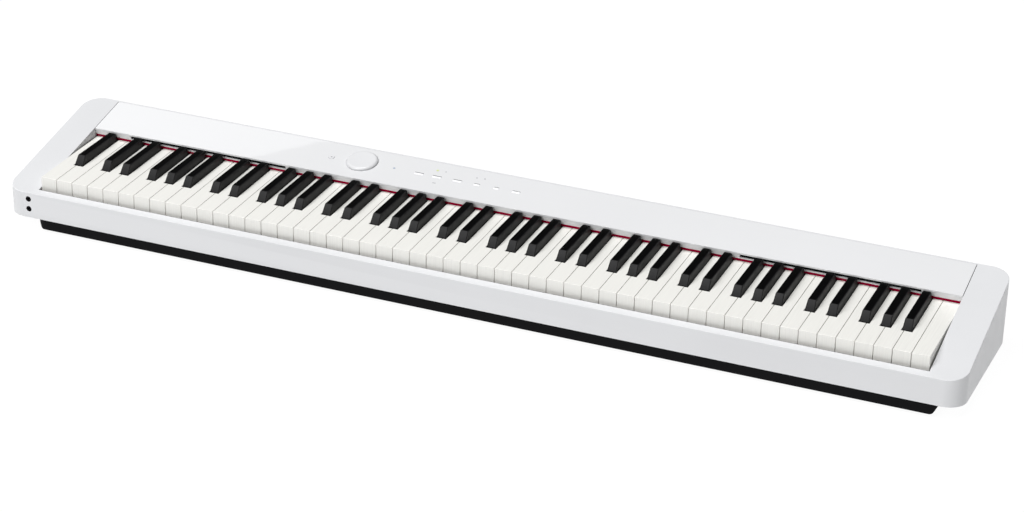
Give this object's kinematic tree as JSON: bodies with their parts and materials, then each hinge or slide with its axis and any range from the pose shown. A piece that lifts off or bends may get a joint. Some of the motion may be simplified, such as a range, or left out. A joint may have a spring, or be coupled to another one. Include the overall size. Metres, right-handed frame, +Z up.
{
  "type": "digital piano",
  "caption": "Slim white tabletop digital piano with a full hinged keyboard, weighted hammers, a sloped touch panel, volume knob, speakers and a black base.",
  "frame": {"origin": "middle of the footprint, on the surface the feet stand on", "axes": "+X from the bass end to the treble end, +Y from the player to the rear, +Z up"},
  "size_m": [1.322, 0.232, 0.1031],
  "materials": {
    "white_case": "fine satin moulded white plastic",
    "gloss_panel": "glossy white plastic",
    "white_button": "satin white plastic",
    "key_white": "ivory-textured warm white",
    "key_black": "matte ebony-textured black",
    "hammer_metal": "plain weighted metal",
    "black_base": "matte black moulding",
    "foot_rubber": "matte rubber",
    "red_felt": "dense red felt",
    "steel": "bright ground steel",
    "magnet_iron": "dark ferrite",
    "brass_insert": "machined brass",
    "frame_plastic": "grey moulding",
    "circuit_board": "green solder mask",
    "contact_rubber": "grey silicone",
    "cable_sleeve": "soft cable insulation",
    "speaker_cone": "black paper cone",
    "touch_print": "translucent grey light guide",
    "led_lens": "clear coloured lens"
  },
  "bodies": {
    "base": {"upper_case": "white_case", "control_panel": "gloss_panel", "fascia": "white_case", "felt_strip": "red_felt", "volume_pot": "black_base", "power_switch": "black_base", "touch_marks": "touch_print", "status_leds": "led_lens", "panel_board": "circuit_board", "bottom_chassis": "black_base", "rubber_feet": "foot_rubber", "stand_inserts": "brass_insert", "case_screws": "steel", "key_frame": "frame_plastic", "key_shaft": "steel", "hammer_shaft": "steel", "key_down_felt": "red_felt", "key_rest_felt": "red_felt", "hammer_felts": "red_felt", "contact_board": "circuit_board", "contact_rubber": "contact_rubber", "main_board": "circuit_board", "panel_ribbon": "cable_sleeve", "speaker_baskets": "steel", "speaker_cones": "speaker_cone", "speaker_magnets": "magnet_iron", "headphone_jacks": "black_base", "jack_plate": "black_base", "dc_inlet": "black_base", "usb_port": "steel", "pedal_jack": "black_base", "pedal_socket": "black_base", "speaker_leads": "cable_sleeve"},
    "a_key": {"a_keys": "key_white"},
    "a_hammer": {"a_hammers": "hammer_metal"},
    "a_sharp_key": {"a_sharp_keys": "key_black"},
    "a_sharp_hammer": {"a_sharp_hammers": "hammer_metal"},
    "b_key": {"b_keys": "key_white"},
    "b_hammer": {"b_hammers": "hammer_metal"},
    "c_key": {"c_keys": "key_white"},
    "c_hammer": {"c_hammers": "hammer_metal"},
    "c_sharp_key": {"c_sharp_keys": "key_black"},
    "c_sharp_hammer": {"c_sharp_hammers": "hammer_metal"},
    "d_key": {"d_keys": "key_white"},
    "d_hammer": {"d_hammers": "hammer_metal"},
    "d_sharp_key": {"d_sharp_keys": "key_black"},
    "d_sharp_hammer": {"d_sharp_hammers": "hammer_metal"},
    "e_key": {"e_keys": "key_white"},
    "e_hammer": {"e_hammers": "hammer_metal"},
    "f_key": {"f_keys": "key_white"},
    "f_hammer": {"f_hammers": "hammer_metal"},
    "f_sharp_key": {"f_sharp_keys": "key_black"},
    "f_sharp_hammer": {"f_sharp_hammers": "hammer_metal"},
    "g_key": {"g_keys": "key_white"},
    "g_hammer": {"g_hammers": "hammer_metal"},
    "g_sharp_key": {"g_sharp_keys": "key_black"},
    "g_sharp_hammer": {"g_sharp_hammers": "hammer_metal"},
    "volume_knob": {"volume_knob": "white_button", "volume_shaft": "steel"},
    "power_button": {"power_button": "white_button"}
  },
  "joints": [
    {"name": "a_key_press", "type": "hinge", "parent": "base", "child": "a_key", "pos_m": [0, 0.066, 0.058], "axis": [1, 0, 0], "range_deg": [0, 3.45], "stiffness_Nm_per_rad": 1.2, "springref_deg": -20.05},
    {"name": "a_hammer_lift", "type": "hinge", "parent": "base", "child": "a_hammer", "pos_m": [0, -0.008, 0.033], "axis": [1, 0, 0], "range_deg": [0, 17.6]},
    {"name": "a_sharp_key_press", "type": "hinge", "parent": "base", "child": "a_sharp_key", "pos_m": [0, 0.066, 0.058], "axis": [1, 0, 0], "range_deg": [0, 4.04], "stiffness_Nm_per_rad": 1.2, "springref_deg": -20.05},
    {"name": "a_sharp_hammer_lift", "type": "hinge", "parent": "base", "child": "a_sharp_hammer", "pos_m": [0, -0.008, 0.033], "axis": [1, 0, 0], "range_deg": [0, 17.6]},
    {"name": "b_key_press", "type": "hinge", "parent": "base", "child": "b_key", "pos_m": [0, 0.066, 0.058], "axis": [1, 0, 0], "range_deg": [0, 3.45], "stiffness_Nm_per_rad": 1.2, "springref_deg": -20.05},
    {"name": "b_hammer_lift", "type": "hinge", "parent": "base", "child": "b_hammer", "pos_m": [0, -0.008, 0.033], "axis": [1, 0, 0], "range_deg": [0, 17.6]},
    {"name": "c_key_press", "type": "hinge", "parent": "base", "child": "c_key", "pos_m": [0, 0.066, 0.058], "axis": [1, 0, 0], "range_deg": [0, 3.45], "stiffness_Nm_per_rad": 1.2, "springref_deg": -20.05},
    {"name": "c_hammer_lift", "type": "hinge", "parent": "base", "child": "c_hammer", "pos_m": [0, -0.008, 0.033], "axis": [1, 0, 0], "range_deg": [0, 17.6]},
    {"name": "c_sharp_key_press", "type": "hinge", "parent": "base", "child": "c_sharp_key", "pos_m": [0, 0.066, 0.058], "axis": [1, 0, 0], "range_deg": [0, 4.04], "stiffness_Nm_per_rad": 1.2, "springref_deg": -20.05},
    {"name": "c_sharp_hammer_lift", "type": "hinge", "parent": "base", "child": "c_sharp_hammer", "pos_m": [0, -0.008, 0.033], "axis": [1, 0, 0], "range_deg": [0, 17.6]},
    {"name": "d_key_press", "type": "hinge", "parent": "base", "child": "d_key", "pos_m": [0, 0.066, 0.058], "axis": [1, 0, 0], "range_deg": [0, 3.45], "stiffness_Nm_per_rad": 1.2, "springref_deg": -20.05},
    {"name": "d_hammer_lift", "type": "hinge", "parent": "base", "child": "d_hammer", "pos_m": [0, -0.008, 0.033], "axis": [1, 0, 0], "range_deg": [0, 17.6]},
    {"name": "d_sharp_key_press", "type": "hinge", "parent": "base", "child": "d_sharp_key", "pos_m": [0, 0.066, 0.058], "axis": [1, 0, 0], "range_deg": [0, 4.04], "stiffness_Nm_per_rad": 1.2, "springref_deg": -20.05},
    {"name": "d_sharp_hammer_lift", "type": "hinge", "parent": "base", "child": "d_sharp_hammer", "pos_m": [0, -0.008, 0.033], "axis": [1, 0, 0], "range_deg": [0, 17.6]},
    {"name": "e_key_press", "type": "hinge", "parent": "base", "child": "e_key", "pos_m": [0, 0.066, 0.058], "axis": [1, 0, 0], "range_deg": [0, 3.45], "stiffness_Nm_per_rad": 1.2, "springref_deg": -20.05},
    {"name": "e_hammer_lift", "type": "hinge", "parent": "base", "child": "e_hammer", "pos_m": [0, -0.008, 0.033], "axis": [1, 0, 0], "range_deg": [0, 17.6]},
    {"name": "f_key_press", "type": "hinge", "parent": "base", "child": "f_key", "pos_m": [0, 0.066, 0.058], "axis": [1, 0, 0], "range_deg": [0, 3.45], "stiffness_Nm_per_rad": 1.2, "springref_deg": -20.05},
    {"name": "f_hammer_lift", "type": "hinge", "parent": "base", "child": "f_hammer", "pos_m": [0, -0.008, 0.033], "axis": [1, 0, 0], "range_deg": [0, 17.6]},
    {"name": "f_sharp_key_press", "type": "hinge", "parent": "base", "child": "f_sharp_key", "pos_m": [0, 0.066, 0.058], "axis": [1, 0, 0], "range_deg": [0, 4.04], "stiffness_Nm_per_rad": 1.2, "springref_deg": -20.05},
    {"name": "f_sharp_hammer_lift", "type": "hinge", "parent": "base", "child": "f_sharp_hammer", "pos_m": [0, -0.008, 0.033], "axis": [1, 0, 0], "range_deg": [0, 17.6]},
    {"name": "g_key_press", "type": "hinge", "parent": "base", "child": "g_key", "pos_m": [0, 0.066, 0.058], "axis": [1, 0, 0], "range_deg": [0, 3.45], "stiffness_Nm_per_rad": 1.2, "springref_deg": -20.05},
    {"name": "g_hammer_lift", "type": "hinge", "parent": "base", "child": "g_hammer", "pos_m": [0, -0.008, 0.033], "axis": [1, 0, 0], "range_deg": [0, 17.6]},
    {"name": "g_sharp_key_press", "type": "hinge", "parent": "base", "child": "g_sharp_key", "pos_m": [0, 0.066, 0.058], "axis": [1, 0, 0], "range_deg": [0, 4.04], "stiffness_Nm_per_rad": 1.2, "springref_deg": -20.05},
    {"name": "g_sharp_hammer_lift", "type": "hinge", "parent": "base", "child": "g_sharp_hammer", "pos_m": [0, -0.008, 0.033], "axis": [1, 0, 0], "range_deg": [0, 17.6]},
    {"name": "volume_turn", "type": "hinge", "parent": "base", "child": "volume_knob", "pos_m": [-0.2237, 0.084, 0.09566], "axis": [0, -0.1945, 0.9809], "range_deg": [-140, 140]},
    {"name": "power_press", "type": "slide", "parent": "base", "child": "power_button", "axis": [0, 0.1945, -0.9809], "range_m": [0, 0.0008], "stiffness_N_per_m": 1500, "springref_m": -0.0004}
  ],
  "couplings": [
    {"joint": "a_hammer_lift", "follows": "a_key_press", "ratio": 5.0666},
    {"joint": "a_sharp_hammer_lift", "follows": "a_sharp_key_press", "ratio": 4.3295},
    {"joint": "b_hammer_lift", "follows": "b_key_press", "ratio": 5.0666},
    {"joint": "c_hammer_lift", "follows": "c_key_press", "ratio": 5.0666},
    {"joint": "c_sharp_hammer_lift", "follows": "c_sharp_key_press", "ratio": 4.3295},
    {"joint": "d_hammer_lift", "follows": "d_key_press", "ratio": 5.0666},
    {"joint": "d_sharp_hammer_lift", "follows": "d_sharp_key_press", "ratio": 4.3295},
    {"joint": "e_hammer_lift", "follows": "e_key_press", "ratio": 5.0666},
    {"joint": "f_hammer_lift", "follows": "f_key_press", "ratio": 5.0666},
    {"joint": "f_sharp_hammer_lift", "follows": "f_sharp_key_press", "ratio": 4.3295},
    {"joint": "g_hammer_lift", "follows": "g_key_press", "ratio": 5.0666},
    {"joint": "g_sharp_hammer_lift", "follows": "g_sharp_key_press", "ratio": 4.3295}
  ]
}
